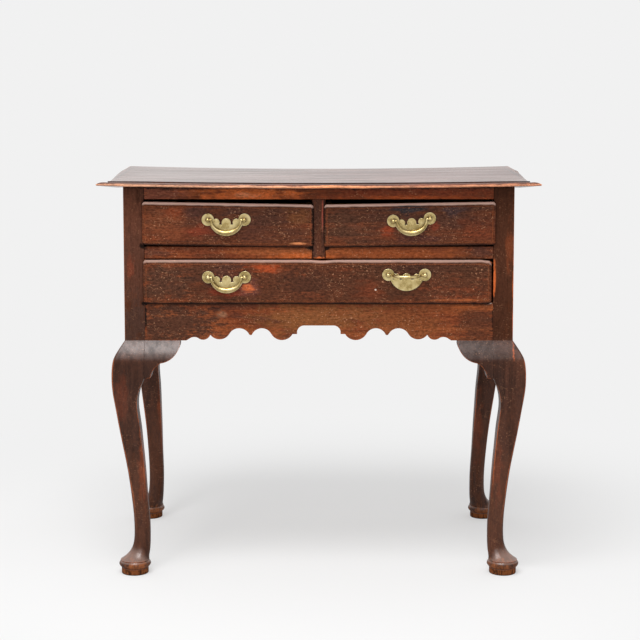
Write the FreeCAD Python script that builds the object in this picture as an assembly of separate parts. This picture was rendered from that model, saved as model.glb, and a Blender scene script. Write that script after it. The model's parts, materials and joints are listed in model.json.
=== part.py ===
import FreeCAD, Part
import math
import os

# A lowboy: two drawers over one long drawer in a joined case on four cabriole legs with pad feet.
# Millimetres. Z is up, the front faces minus Y, and the origin is on the floor under the middle of the top.

# Top, two boards with a thumb moulding on the front and both ends, where it narrows to the rear
top_width = 780.0
top_depth = 480.0
top_thickness = 11.0
top_front_overhang = 40.0
top_side_overhang = 43.0
top_rear_overhang = 22.0
rear_board_width = 118.0
thumb_width = 18.0
thumb_rear_width = 7.0
quirk_depth = 2.5
nose_drop = 6.0
nose_bottom_drop = 8.5
nose_undercut = 1.2
under_bevel_width = 34.0

# Case heights, from the floor up
leg_height = 429.0
apron_height = 68.5
lower_opening_height = 78.0
middle_rail_height = 23.0
upper_opening_height = 83.5
top_rail_height = 24.0

# Case members
post_size = 36.0
top_rail_thickness = 22.0
middle_rail_depth = 50.0
apron_thickness = 20.0
divider_width = 24.0
divider_depth = 32.0
divider_lap_depth = 10.0
divider_tenon_height = 14.0
divider_tenon_width = 14.0
divider_tenon_thickness = 10.0
side_thickness = 16.0
side_setback = 1.0
side_tongue_thickness = 8.0
side_tongue_length = 12.0
side_arch_rise = 15.0
side_arch_margin = 8.0
back_thickness = 14.0
back_rebate = 12.0
back_bottom_raise = 18.0

# Tenons of the front members
tenon_length = 20.0
top_rail_tenon_thickness = 8.0
top_rail_tenon_height = 14.0
middle_rail_tenon_width = 22.0
middle_rail_tenon_height = 11.0
apron_tenon_thickness = 8.0
apron_tenon_height = 46.0

# Runners, guides and kickers inside the case
runner_width = 38.0
runner_thickness = 20.0
guide_height = 22.0
runner_tongue_length = 8.0
runner_tongue_width = 10.0
runner_tongue_thickness = 8.0
centre_runner_width = 78.0
centre_guide_clearance = 1.5
kicker_width = 34.0
kicker_thickness = 20.0
glue_block_length = 60.0
glue_block_size = 22.0
stop_width = 24.0
stop_depth = 6.0
stop_height = 4.0

# Nails that hold the back
nail_head_radius = 4.5
nail_head_thickness = 1.6
nail_shank_radius = 1.6
nail_length = 34.0
nails_per_edge = 4

# Cabriole legs
knee_reach = 22.6
pad_radius = 28.8
pad_inner_reach = 41.2
pad_rim_height = 17.8
pad_groove_height = 24.0
pad_groove_radius = 25.2
pad_top_height = 25.2
pad_top_radius = 26.0
pad_waist_height = 11.5
pad_waist_radius = 23.0
disc_radius = 24.3
disc_height = 10.3
disc_edge_radius = 1.6
# With age the rear left leg leans out to its side, by this much at the foot
rear_left_lean = 11.0

# Knee brackets
bracket_length = 63.0
bracket_drop = 66.0

# Drawers
drawer_running_gap = 0.3
drawer_side_clearance = 1.0
drawer_front_thickness = 20.0
lip_thickness = 7.0
lip_side_reach = 4.0
lip_bottom_reach = 3.0
lip_corner_radius = 6.0
lip_round_radius = 4.6
lip_bead_width = 5.6
lip_bead_quirk = 1.0
upper_drawer_top_gap = 3.6
long_drawer_top_gap = 0.8
long_drawer_right_gap = 3.2
drawer_side_thickness = 10.0
drawer_side_step = 3.0
drawer_back_thickness = 10.0
drawer_back_step = 4.0
drawer_bottom_thickness = 6.0
drawer_bottom_raise = 7.0
drawer_groove_depth = 5.0
drawer_rear_gap = 6.0
tail_length = 11.0
tails_per_corner = 3
pin_tip_width = 5.0
pin_flare = 2.6

# Brass bail handles
handle_post_spacing = 65.0
handle_disc_radius = 10.8
handle_plate_thickness = 1.6
handle_crescent_radius = 30.5
handle_crescent_drop = 28.8
handle_notch_drop = 8.6
handle_middle_lobe_radius = 8.0
handle_middle_lobe_top = 2.6
handle_side_lobe_radius = 6.2
handle_side_lobe_top = 1.6
handle_side_lobe_place = 17.8
post_shaft_radius = 2.4
post_hole_clearance = 0.1
post_head_radius = 3.9
post_collar_radius = 4.4
post_collar_thickness = 1.6
bail_standoff = 8.0
bail_pin_radius = 1.5
bail_pin_clearance = 0.08
bail_pin_depth = 2.6
bail_half_span = 26.4
bail_drop = 22.4
bail_grip_radius = 2.9
nut_radius = 6.0
nut_thickness = 3.5
post_tail_length = 2.0
upper_handle_drop = 31.9
upper_handle_offset = 2.6
lower_left_handle_drop = 30.7
lower_right_handle_drop = 26.4
lower_left_handle_place = 164.0
lower_right_handle_place = 156.0
crooked_handle_angle = 4.0
raised_bail_angle = 88.0

# Every cut runs past the face that it starts from by this much
overrun = 4.0

# Cabriole leg stations, from the case down to the top of the pad. Height goes with the leg's height above
# the pad, outer with the knee's reach, inner with the post. Round is the outer corner's radius and side that
# of the other corners, both by half the section.
leg_station_shares = (
    {"height": 1.0000, "outer": 0.00, "inner": 1.00, "round": 0.06, "side": 0.03},
    {"height": 0.9798, "outer": 0.25, "inner": 1.00, "round": 0.08, "side": 0.03},
    {"height": 0.9554, "outer": 0.54, "inner": 1.00, "round": 0.10, "side": 0.03},
    {"height": 0.9298, "outer": 0.79, "inner": 1.00, "round": 0.13, "side": 0.03},
    {"height": 0.8970, "outer": 0.94, "inner": 1.00, "round": 0.15, "side": 0.03},
    {"height": 0.8416, "outer": 1.00, "inner": 1.00, "round": 0.16, "side": 0.04},
    {"height": 0.8046, "outer": 0.98, "inner": 0.82, "round": 0.17, "side": 0.05},
    {"height": 0.7642, "outer": 0.91, "inner": 0.67, "round": 0.18, "side": 0.06},
    {"height": 0.7153, "outer": 0.78, "inner": 0.61, "round": 0.20, "side": 0.08},
    {"height": 0.6313, "outer": 0.56, "inner": 0.70, "round": 0.24, "side": 0.12},
    {"height": 0.5325, "outer": 0.28, "inner": 0.80, "round": 0.30, "side": 0.17},
    {"height": 0.4083, "outer": -0.07, "inner": 0.91, "round": 0.42, "side": 0.28},
    {"height": 0.2840, "outer": -0.32, "inner": 1.00, "round": 0.60, "side": 0.48},
    {"height": 0.1607, "outer": -0.47, "inner": 1.10, "round": 0.85, "side": 0.78},
    {"height": 0.1012, "outer": -0.46, "inner": 1.11, "round": 0.95, "side": 0.93},
    {"height": 0.0566, "outer": -0.34, "inner": 1.10, "round": 0.97, "side": 0.97},
    {"height": 0.0268, "outer": -0.04, "inner": 1.07, "round": 0.97, "side": 0.97},
    {"height": 0.0056, "outer": 0.42, "inner": 1.05, "round": 0.97, "side": 0.97},
)
# The knee and the shin meet at this station, and each is shaped over some of the other's
knee_end_station = 5
shared_station_count = 3
# A leaning leg starts to lean at this share of its height above the pad
lean_start_share = 0.80

# Scalloped edge of the apron from its middle to the knee bracket: across goes with half the clear width,
# up with the apron's height. A pair is an arc's middle and end, a single place ends a straight line.
apron_scallop_shares = (
    ((0.084, 0.394),),
    ((0.114, 0.336), (0.125, 0.169)),
    ((0.151, 0.169),),
    ((0.212, 0.009), (0.273, 0.168)),
    ((0.331, 0.321), (0.384, 0.158)),
    ((0.392, 0.140), (0.400, 0.158)),
    ((0.458, 0.321), (0.516, 0.161)),
    ((0.569, 0.029), (0.624, 0.149)),
    ((0.666, 0.018), (0.694, 0.066)),
    ((0.720, 0.090), (0.746, 0.044)),
    ((0.762, 0.000),),
)

# Lower edge of a knee bracket from its tip to the leg: along goes with its length, down with its drop
bracket_edge_shares = (
    ((1.000, 0.105),),
    ((0.868, 0.368), (0.473, 0.577)),
    ((0.284, 0.722), (0.174, 0.977)),
    ((0.000, 1.000),),
)

# Glue blocks stand this far out from the middle, in halves of the clear width
glue_block_place_share = 0.45
# Drawer stops stand this far in from a drawer's sides, as a share of its width
stop_place_share = 0.18
# A bail is swept through this many round sections
bail_section_count = 13
# A bail thins from its grip to its pins by this power of the sine
bail_taper_power = 1.4
# Roundness of the thumb moulding's middle, between straight and full
thumb_crown_share = 0.72

# Planes of the case
front_y = -top_depth / 2 + top_front_overhang
rear_y = top_depth / 2 - top_rear_overhang
side_x = top_width / 2 - top_side_overhang
clear_x = side_x - post_size
front_post_rear_y = front_y + post_size
rear_post_front_y = rear_y - post_size
back_inner_y = rear_y - back_thickness
side_inner_x = side_x - side_setback - side_thickness
apron_top_z = leg_height + apron_height
middle_rail_bottom_z = apron_top_z + lower_opening_height
middle_rail_top_z = middle_rail_bottom_z + middle_rail_height
top_rail_bottom_z = middle_rail_top_z + upper_opening_height
case_top_z = top_rail_bottom_z + top_rail_height
top_z = case_top_z + top_thickness
middle_rail_rear_y = front_y + middle_rail_depth
apron_rear_y = front_y + apron_thickness
top_rail_rear_y = front_y + top_rail_thickness
lip_front_y = front_y - drawer_running_gap - lip_thickness
drawer_front_rear_y = lip_front_y + drawer_front_thickness

up = FreeCAD.Vector(0, 0, 1)
across = FreeCAD.Vector(1, 0, 0)
inward = FreeCAD.Vector(0, 1, 0)
origin = FreeCAD.Vector(0, 0, 0)
nodes = {}


def at(x, y, z):
    return FreeCAD.Vector(x, y, z)


def block(x_pair, y_pair, z_pair):
    """A box between two planes on each axis."""
    corner = at(x_pair[0], y_pair[0], z_pair[0])
    return Part.makeBox(x_pair[1] - x_pair[0], y_pair[1] - y_pair[0], z_pair[1] - z_pair[0], corner)


def outline(start, *steps):
    """A face from lines (a point) and arcs (a pair of middle and end points), closed by a line."""
    edges = []
    here = start
    for step in steps:
        if isinstance(step, tuple):
            edges.append(Part.Arc(here, step[0], step[1]).toShape())
            here = step[1]
        else:
            edges.append(Part.makeLine(here, step))
            here = step
    if here.sub(start).Length > Part.Vertex(start).Tolerance:
        edges.append(Part.makeLine(here, start))
    return Part.Face(Part.Wire(edges))


def rod(radius, start, end):
    """A round bar between two points."""
    run = end.sub(start)
    return Part.makeCylinder(radius, run.Length, start, run)


def mirrored_x(shape):
    return shape.mirror(origin, across)


def turned(shape, degrees):
    """The shape turned about the vertical through the origin."""
    copy = shape.copy()
    copy.rotate(origin, up, degrees)
    return copy


def moved(shape, x, y, z):
    copy = shape.copy()
    copy.translate(at(x, y, z))
    return copy


def cut_all(shape, tools):
    for tool in tools:
        shape = shape.cut(tool)
    return shape


# Top


def edge_profile(width):
    """The section that the moulding plane takes off an edge with its nose at X zero."""
    crown_x = width * (1 - thumb_crown_share)
    crown_z = -quirk_depth - (nose_drop - quirk_depth) * (1 - thumb_crown_share)
    nose_middle = at(0, 0, -(nose_drop + nose_bottom_drop) / 2)
    return outline(
        at(width, 0, overrun),
        at(width, 0, -quirk_depth),
        (at(crown_x, 0, crown_z), at(0, 0, -nose_drop)),
        nose_middle,
        at(nose_undercut, 0, -nose_bottom_drop),
        at(under_bevel_width, 0, -top_thickness),
        at(under_bevel_width, 0, -top_thickness - overrun),
        at(-overrun, 0, -top_thickness - overrun),
        at(-overrun, 0, overrun),
    )


def edge_waste(length, first_width, last_width):
    """The waste along an edge that runs along Y, where the moulding changes from one width to another."""
    reach = length / 2 + overrun
    ends = ((-reach, first_width), (reach, last_width))
    profiles = [moved(edge_profile(width), 0, y, 0).OuterWire for y, width in ends]
    return Part.makeLoft(profiles, True, True)


def make_top():
    half_width = top_width / 2
    half_depth = top_depth / 2
    slab = block((-half_width, half_width), (-half_depth, half_depth), (case_top_z, top_z))
    left_waste = moved(edge_waste(top_depth, thumb_width, thumb_rear_width), -half_width, 0, top_z)
    front_waste = moved(turned(edge_waste(top_width, thumb_width, thumb_width), 90), 0, -half_depth, top_z)
    slab = cut_all(slab, (left_waste, mirrored_x(left_waste), front_waste))
    joint_y = half_depth - rear_board_width
    wide = (-top_width, top_width)
    tall = (0, top_z + overrun)
    nodes["top_front_board"] = slab.common(block(wide, (-top_depth, joint_y), tall))
    nodes["top_rear_board"] = slab.common(block(wide, (joint_y, top_depth), tall))


# Legs, made for a corner at the origin that points to plus X and plus Y


def station_values(station):
    height = pad_top_height + station["height"] * (leg_height - pad_top_height)
    outer = station["outer"] * knee_reach
    inner = station["inner"] * post_size
    return height, outer, inner


def leg_section(station, lean):
    """A square section with rounded corners, from the inner reach to the outer reach on both axes."""
    height, outer, inner = station_values(station)
    half = (outer + inner) / 2
    middle = (outer - inner) / 2
    shift = lean * max(0, 1 - station["height"] / lean_start_share)
    radii = [half * station["round"]] + [half * station["side"]] * 3
    edges = []
    for quarter in range(4):
        turn = FreeCAD.Rotation(up, 90 * quarter)
        start = half - radii[quarter - 1]
        end = half - radii[quarter]
        slant = end + radii[quarter] * math.sqrt(0.5)
        points = [at(half, -start, 0), at(half, end, 0), at(slant, slant, 0), at(end, half, 0)]
        points = [turn.multVec(point).add(at(middle, middle + shift, height)) for point in points]
        edges.append(Part.makeLine(points[0], points[1]))
        edges.append(Part.Arc(points[1], points[2], points[3]).toShape())
    return Part.Wire(edges)


def pad_foot():
    """The turned pad: a plain disc, a rounded rim over it, and a fine groove under the leg."""
    middle = pad_radius - pad_inner_reach
    slant = disc_edge_radius * (1 - math.sqrt(0.5))
    rim_rise = (pad_groove_height + pad_rim_height) / 2
    rim_fall = (pad_waist_height + pad_rim_height) / 2
    upper_bulge = (pad_radius * 3 + pad_groove_radius) / 4
    lower_bulge = (pad_radius * 3 + pad_waist_radius) / 4
    face = outline(
        origin,
        at(disc_radius - disc_edge_radius, 0, 0),
        (at(disc_radius - slant, 0, slant), at(disc_radius, 0, disc_edge_radius)),
        at(disc_radius, 0, disc_height),
        at(pad_waist_radius, 0, pad_waist_height),
        (at(lower_bulge, 0, rim_fall), at(pad_radius, 0, pad_rim_height)),
        (at(upper_bulge, 0, rim_rise), at(pad_groove_radius, 0, pad_groove_height)),
        at(pad_top_radius, 0, pad_top_height),
        at(0, 0, pad_top_height),
    )
    return moved(face.revolve(origin, up, 360), middle, middle, 0)


def pad_top_section():
    """The ring where the leg sits on the pad, as a nearly round section like its neighbours."""
    middle = pad_radius - pad_inner_reach
    last = leg_station_shares[-1]
    outer = (middle + pad_top_radius) / knee_reach
    inner = (pad_top_radius - middle) / post_size
    return {"height": 0, "outer": outer, "inner": inner, "round": last["round"], "side": last["side"]}


def knee_stations():
    """The knee's stations and the shin's first ones, all with the post's straight inner faces."""
    stations = leg_station_shares[:knee_end_station + 1 + shared_station_count]
    return [dict(station, inner=1) for station in stations]


def plain_leg(lean=0):
    """A post with its leg and foot, which leans to plus Y below the knee."""
    post = block((-post_size, 0), (-post_size, 0), (leg_height, case_top_z))
    shin_stations = leg_station_shares[knee_end_station - shared_station_count:] + (pad_top_section(),)
    knee = Part.makeLoft([leg_section(station, 0) for station in knee_stations()], True)
    shin = Part.makeLoft([leg_section(station, lean) for station in shin_stations], True)
    meeting_z = station_values(leg_station_shares[knee_end_station])[0]
    wide = (-post_size - pad_radius, post_size + pad_radius)
    knee = knee.common(block(wide, wide, (meeting_z, leg_height)))
    shin = shin.common(block(wide, wide, (0, meeting_z)))
    return post.fuse([knee, shin, moved(pad_foot(), 0, lean, 0)]).removeSplitter()


def knee_bracket():
    """The bracket beside a knee, running to minus X from the post, with the knee's swell on its front."""
    tip_x = -post_size - bracket_length
    sections = []
    for station in knee_stations():
        height, outer, _ = station_values(station)
        corners = [
            at(tip_x - overrun, -apron_thickness, height),
            at(-post_size, -apron_thickness, height),
            at(-post_size, outer, height),
            at(tip_x - overrun, outer, height),
        ]
        sections.append(Part.makePolygon(corners + corners[:1]))
    swell = Part.makeLoft(sections, True)

    def place(pair):
        return at(-post_size - pair[0] * bracket_length, -post_size, leg_height - pair[1] * bracket_drop)

    steps = [step_between(place, step) for step in bracket_edge_shares]
    face = outline(at(tip_x, -post_size, leg_height), *steps, at(-post_size, -post_size, leg_height))
    return swell.common(face.extrude(inward * (post_size + knee_reach + overrun)))


def step_between(place, step):
    """One step of an outline from its shares: an arc for a pair, a line's end for a single place."""
    points = tuple(place(pair) for pair in step)
    return points if len(points) == 2 else points[0]


def at_corner(shape, degrees):
    """The shape of a plus X, plus Y corner, turned and set at the case corner that it then points to."""
    turn = FreeCAD.Rotation(up, degrees)
    points_to = turn.multVec(at(1, 1, 0))
    x = side_x if points_to.x > 0 else -side_x
    y = rear_y if points_to.y > 0 else front_y
    return moved(turned(shape, degrees), x, y, 0)


def swapped(shape):
    """The shape mirrored so that X and Y change places."""
    return shape.mirror(origin, at(1, -1, 0))


# Case members


def tenoned(body, tenon):
    """A cross member with the same tenon at both ends."""
    return body.fuse([tenon, mirrored_x(tenon)]).removeSplitter()


def make_front_frame():
    long_x = (-clear_x, clear_x)
    tenon_x = (clear_x, clear_x + tenon_length)

    middle_y = front_y + top_rail_thickness / 2
    middle_z = (top_rail_bottom_z + case_top_z) / 2
    top_rail = tenoned(
        block(long_x, (front_y, top_rail_rear_y), (top_rail_bottom_z, case_top_z)),
        block(
            tenon_x,
            (middle_y - top_rail_tenon_thickness / 2, middle_y + top_rail_tenon_thickness / 2),
            (middle_z - top_rail_tenon_height / 2, middle_z + top_rail_tenon_height / 2),
        ),
    )

    middle_y = front_y + post_size / 2
    middle_z = (middle_rail_bottom_z + middle_rail_top_z) / 2
    middle_rail = tenoned(
        block(long_x, (front_y, middle_rail_rear_y), (middle_rail_bottom_z, middle_rail_top_z)),
        block(
            tenon_x,
            (middle_y - middle_rail_tenon_width / 2, middle_y + middle_rail_tenon_width / 2),
            (middle_z - middle_rail_tenon_height / 2, middle_z + middle_rail_tenon_height / 2),
        ),
    )

    middle_y = front_y + apron_thickness / 2
    middle_z = (leg_height + apron_top_z) / 2
    apron = tenoned(
        scalloped_board(),
        block(
            tenon_x,
            (middle_y - apron_tenon_thickness / 2, middle_y + apron_tenon_thickness / 2),
            (middle_z - apron_tenon_height / 2, middle_z + apron_tenon_height / 2),
        ),
    )

    divider = make_divider()
    nodes["top_rail"] = top_rail.cut(divider)
    nodes["middle_rail"] = middle_rail.cut(divider)
    nodes["apron"] = apron
    nodes["drawer_divider"] = divider


def scalloped_board():
    """The apron between the posts, with its scalloped lower edge."""

    def place(pair):
        return at(pair[0] * clear_x, front_y, leg_height + pair[1] * apron_height)

    steps = [step_between(place, step) for step in apron_scallop_shares]
    middle_rise = apron_scallop_shares[0][0][1] * apron_height
    face = outline(
        at(0, front_y, leg_height + middle_rise),
        *steps,
        at(clear_x, front_y, leg_height),
        at(clear_x, front_y, apron_top_z),
        at(0, front_y, apron_top_z),
    )
    half = face.extrude(inward * apron_thickness)
    return half.fuse(mirrored_x(half)).removeSplitter()


def make_divider():
    """The upright between the upper drawers, tenoned into the top rail and lapped over the middle rail."""
    half = divider_width / 2
    upright = block((-half, half), (front_y, front_y + divider_depth), (middle_rail_top_z, top_rail_bottom_z))
    lap_heights = (middle_rail_bottom_z, middle_rail_top_z)
    lap = block((-half, half), (front_y, front_y + divider_lap_depth), lap_heights)
    tenon_y = front_y + top_rail_thickness / 2
    tenon = block(
        (-divider_tenon_width / 2, divider_tenon_width / 2),
        (tenon_y - divider_tenon_thickness / 2, tenon_y + divider_tenon_thickness / 2),
        (top_rail_bottom_z, top_rail_bottom_z + divider_tenon_height),
    )
    return upright.fuse([lap, tenon]).removeSplitter()


def make_side():
    """The right side board, with a tongue into each post and a shallow arch between the knee brackets."""
    outer_x = side_x - side_setback
    z_pair = (leg_height, case_top_z)
    board = block((side_inner_x, outer_x), (front_post_rear_y, rear_post_front_y), z_pair)
    middle_x = (side_inner_x + outer_x) / 2
    tongue = block(
        (middle_x - side_tongue_thickness / 2, middle_x + side_tongue_thickness / 2),
        (front_post_rear_y - side_tongue_length, rear_post_front_y + side_tongue_length),
        (leg_height + side_arch_rise, case_top_z - side_arch_rise),
    )
    start_y = front_post_rear_y + bracket_length + side_arch_margin
    end_y = rear_post_front_y - bracket_length - side_arch_margin
    slant = side_arch_rise * math.sqrt(0.5)
    crown_z = leg_height + side_arch_rise
    arch = outline(
        at(side_inner_x, start_y, leg_height),
        (
            at(side_inner_x, start_y + side_arch_rise - slant, leg_height + slant),
            at(side_inner_x, start_y + side_arch_rise, crown_z),
        ),
        at(side_inner_x, end_y - side_arch_rise, crown_z),
        (
            at(side_inner_x, end_y - side_arch_rise + slant, leg_height + slant),
            at(side_inner_x, end_y, leg_height),
        ),
    )
    return board.fuse(tongue).removeSplitter().cut(arch.extrude(across * side_thickness))


def make_back():
    half = clear_x + back_rebate
    return block((-half, half), (back_inner_y, rear_y), (leg_height + back_bottom_raise, case_top_z))


def back_nail(x, z):
    """A forged nail with a low round head, driven from behind."""
    seat = at(x, rear_y, z)
    head = Part.makeCone(nail_head_radius, nail_shank_radius, nail_head_thickness, seat, inward)
    shank = Part.makeCone(nail_shank_radius, 0, nail_length, seat, -inward)
    return head.fuse(shank).removeSplitter()


def make_nails():
    bottom_z = leg_height + back_bottom_raise
    pitch = (case_top_z - bottom_z) / nails_per_edge
    x = clear_x + back_rebate / 2
    nails = []
    for row in range(nails_per_edge):
        z = bottom_z + pitch * (row + 0.5)
        nails += [back_nail(-x, z), back_nail(x, z)]
    return nails


# Inside the case


def plan_board(points, z_pair):
    """A flat board from its outline in plan."""
    corners = [at(x, y, z_pair[0]) for x, y in points]
    return Part.Face(Part.makePolygon(corners + corners[:1])).extrude(up * (z_pair[1] - z_pair[0]))


def side_runner(top_of_runner, front_end_y):
    """A right-hand runner, notched round both posts, with its drawer guide along the side board."""
    inner_x = side_inner_x - runner_width
    points = (
        (inner_x, front_end_y),
        (clear_x, front_end_y),
        (clear_x, front_post_rear_y),
        (side_inner_x, front_post_rear_y),
        (side_inner_x, rear_post_front_y),
        (clear_x, rear_post_front_y),
        (clear_x, back_inner_y),
        (inner_x, back_inner_y),
    )
    board = plan_board(points, (top_of_runner - runner_thickness, top_of_runner))
    guide = block(
        (clear_x, side_inner_x),
        (front_post_rear_y, rear_post_front_y),
        (top_of_runner, top_of_runner + guide_height),
    )
    return board.fuse(guide).removeSplitter()


def runner_tongue(x, end_y, top_of_runner):
    """The stub that a runner has in the rail in front of it."""
    middle_z = top_of_runner - runner_thickness / 2
    return block(
        (x - runner_tongue_width / 2, x + runner_tongue_width / 2),
        (end_y - runner_tongue_length, end_y),
        (middle_z - runner_tongue_thickness / 2, middle_z + runner_tongue_thickness / 2),
    )


def make_runners():
    inner_x = side_inner_x - runner_width
    tongue_x = (inner_x + clear_x) / 2
    upper = side_runner(middle_rail_top_z, middle_rail_rear_y)
    upper = upper.fuse(runner_tongue(tongue_x, middle_rail_rear_y, middle_rail_top_z)).removeSplitter()
    lower = side_runner(apron_top_z, apron_rear_y)
    lower = lower.fuse(runner_tongue(tongue_x, apron_rear_y, apron_top_z)).removeSplitter()
    half = centre_runner_width / 2
    centre = block(
        (-half, half),
        (middle_rail_rear_y, back_inner_y),
        (middle_rail_top_z - runner_thickness, middle_rail_top_z),
    )
    centre = centre.fuse(runner_tongue(0, middle_rail_rear_y, middle_rail_top_z)).removeSplitter()
    nodes["upper_right_runner"] = upper
    nodes["upper_left_runner"] = mirrored_x(upper)
    nodes["lower_right_runner"] = lower
    nodes["lower_left_runner"] = mirrored_x(lower)
    nodes["centre_runner"] = centre
    nodes["middle_rail"] = cut_all(nodes["middle_rail"], (upper, mirrored_x(upper), centre))
    nodes["apron"] = cut_all(nodes["apron"], (lower, mirrored_x(lower)))

    guide_half = divider_width / 2 - centre_guide_clearance
    nodes["centre_guide"] = block(
        (-guide_half, guide_half),
        (front_y + divider_depth, back_inner_y),
        (middle_rail_top_z, middle_rail_top_z + guide_height),
    )


def make_kickers():
    """Three strips under the top that keep the upper drawers level as they are pulled."""
    z_pair = (case_top_z - kicker_thickness, case_top_z)
    y_pair = (top_rail_rear_y, back_inner_y)
    inner_x = clear_x - kicker_width
    side = block((inner_x, clear_x), y_pair, z_pair)
    centre = block((-kicker_width / 2, kicker_width / 2), y_pair, z_pair)
    return [mirrored_x(side), centre, side]


def make_glue_blocks():
    """Three-cornered blocks in the angle of the top with the top rail and with the back."""
    blocks = []
    for sign in (-1, 1):
        middle_x = sign * glue_block_place_share * clear_x
        for wall_y, reach in ((top_rail_rear_y, glue_block_size), (back_inner_y, -glue_block_size)):
            corner = at(middle_x - glue_block_length / 2, wall_y, case_top_z)
            face = outline(corner, corner.add(inward * reach), corner.sub(up * glue_block_size))
            blocks.append(face.extrude(across * glue_block_length))
    return blocks


def make_drawer_stops():
    """Small blocks on the rails that the drawer fronts come up against from behind."""
    stops = []
    for left, right, floor_z in drawer_spans():
        for share in (stop_place_share, 1 - stop_place_share):
            middle_x = left + share * (right - left)
            front = drawer_front_rear_y + drawer_running_gap
            stops.append(
                block(
                    (middle_x - stop_width / 2, middle_x + stop_width / 2),
                    (front, front + stop_depth),
                    (floor_z, floor_z + stop_height),
                )
            )
    return stops


# Drawers


def drawer_spans():
    """Left side, right side and opening floor of the upper left, upper right and long drawers."""
    inner_x = divider_width / 2 + drawer_side_clearance
    outer_x = clear_x - drawer_side_clearance
    return (
        (-outer_x, -inner_x, middle_rail_top_z),
        (inner_x, outer_x, middle_rail_top_z),
        (-outer_x, clear_x - long_drawer_right_gap, apron_top_z),
    )


def lip_board(x_pair, z_pair):
    """The proud moulded face of a drawer: a raised field inside a rounded bead with soft corners."""
    bead_front_y = lip_front_y + lip_bead_quirk
    slab = block(x_pair, (bead_front_y, lip_front_y + lip_thickness), z_pair)
    corners = [edge for edge in slab.Edges if abs(edge.tangentAt(edge.FirstParameter).y) > math.sqrt(0.5)]
    slab = slab.makeFillet(lip_corner_radius, corners)
    front = [edge for edge in slab.Edges if edge.BoundBox.YMax < bead_front_y + lip_bead_quirk]
    slab = slab.makeFillet(lip_round_radius, front)
    field = block(
        (x_pair[0] + lip_bead_width, x_pair[1] - lip_bead_width),
        (lip_front_y, lip_front_y + lip_thickness),
        (z_pair[0] + lip_bead_width, z_pair[1] - lip_bead_width),
    )
    return slab.fuse(field).removeSplitter()


def pin_gaps(tip_y, shoulder_y, x_pair, z_pair):
    """The gaps between the dovetails at one end of a drawer side."""
    pitch = (z_pair[1] - z_pair[0]) / tails_per_corner
    tip_half = pin_tip_width / 2
    root_half = tip_half + pin_flare
    gaps = []
    for row in range(tails_per_corner + 1):
        z = z_pair[0] + pitch * row
        below = 0 if row == 0 else 1
        above = 0 if row == tails_per_corner else 1
        face = outline(
            at(x_pair[0], tip_y, z - below * tip_half),
            at(x_pair[0], tip_y, z + above * tip_half),
            at(x_pair[0], shoulder_y, z + above * root_half),
            at(x_pair[0], shoulder_y, z - below * root_half),
        )
        gaps.append(face.extrude(across * (x_pair[1] - x_pair[0])))
    return gaps


def make_drawer(name, left, right, floor_z, front_height, lip_reaches):
    """A dovetailed drawer: front with a proud lip, two sides, back, and a bottom in grooves."""
    bottom_z = floor_z + drawer_running_gap
    front_top_z = bottom_z + front_height
    side_top_z = front_top_z - drawer_side_step
    back_top_z = side_top_z - drawer_back_step
    panel_z = (bottom_z + drawer_bottom_raise, bottom_z + drawer_bottom_raise + drawer_bottom_thickness)
    rear_y_of_drawer = back_inner_y - drawer_rear_gap
    back_front_y = rear_y_of_drawer - drawer_back_thickness
    tail_tip_y = drawer_front_rear_y - tail_length
    groove_inset = drawer_side_thickness - drawer_groove_depth

    panel = block(
        (left + groove_inset, right - groove_inset),
        (drawer_front_rear_y - drawer_groove_depth, rear_y_of_drawer),
        panel_z,
    )

    side_pieces = []
    for x_pair in ((left, left + drawer_side_thickness), (right - drawer_side_thickness, right)):
        board = block(x_pair, (tail_tip_y, rear_y_of_drawer), (bottom_z, side_top_z))
        gaps = pin_gaps(tail_tip_y, drawer_front_rear_y, x_pair, (bottom_z, side_top_z))
        gaps += pin_gaps(rear_y_of_drawer, back_front_y, x_pair, (panel_z[1], back_top_z))
        side_pieces.append(cut_all(board, gaps + [panel]))

    lip = lip_board(
        (left - lip_reaches[0], right + lip_reaches[1]),
        (bottom_z - lip_bottom_reach, front_top_z),
    )
    core = block((left, right), (lip_front_y + lip_thickness, drawer_front_rear_y), (bottom_z, front_top_z))
    front = cut_all(lip.fuse(core).removeSplitter(), [panel] + side_pieces)
    back_slab = block((left, right), (back_front_y, rear_y_of_drawer), (panel_z[1], back_top_z))
    back = cut_all(back_slab, side_pieces)

    nodes[name + "_drawer_front"] = front
    nodes[name + "_drawer_left_side"] = side_pieces[0]
    nodes[name + "_drawer_right_side"] = side_pieces[1]
    nodes[name + "_drawer_back"] = back
    nodes[name + "_drawer_bottom"] = panel


# Handles, made about a centre between the posts on a drawer's face, which lies in the plane Y zero


def disc_at(x, z, radius):
    return Part.makeCylinder(radius, handle_plate_thickness, at(x, -handle_plate_thickness, z), inward)


def handle_plate():
    """The back plate: two discs, a crescent between them, and three lobes along its upper edge."""
    half = handle_post_spacing / 2
    crescent_z = handle_crescent_radius - handle_crescent_drop
    above = block(
        (-handle_post_spacing, handle_post_spacing),
        (-handle_plate_thickness - overrun, overrun),
        (-handle_notch_drop, handle_crescent_radius + crescent_z + overrun),
    )
    plate = disc_at(0, crescent_z, handle_crescent_radius).cut(above)
    lobes = [disc_at(0, handle_middle_lobe_top - handle_middle_lobe_radius, handle_middle_lobe_radius)]
    for sign in (-1, 1):
        side_z = handle_side_lobe_top - handle_side_lobe_radius
        lobes.append(disc_at(sign * handle_side_lobe_place, side_z, handle_side_lobe_radius))
        lobes.append(disc_at(sign * half, 0, handle_disc_radius))
    return plate.fuse(lobes).removeSplitter()


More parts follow.
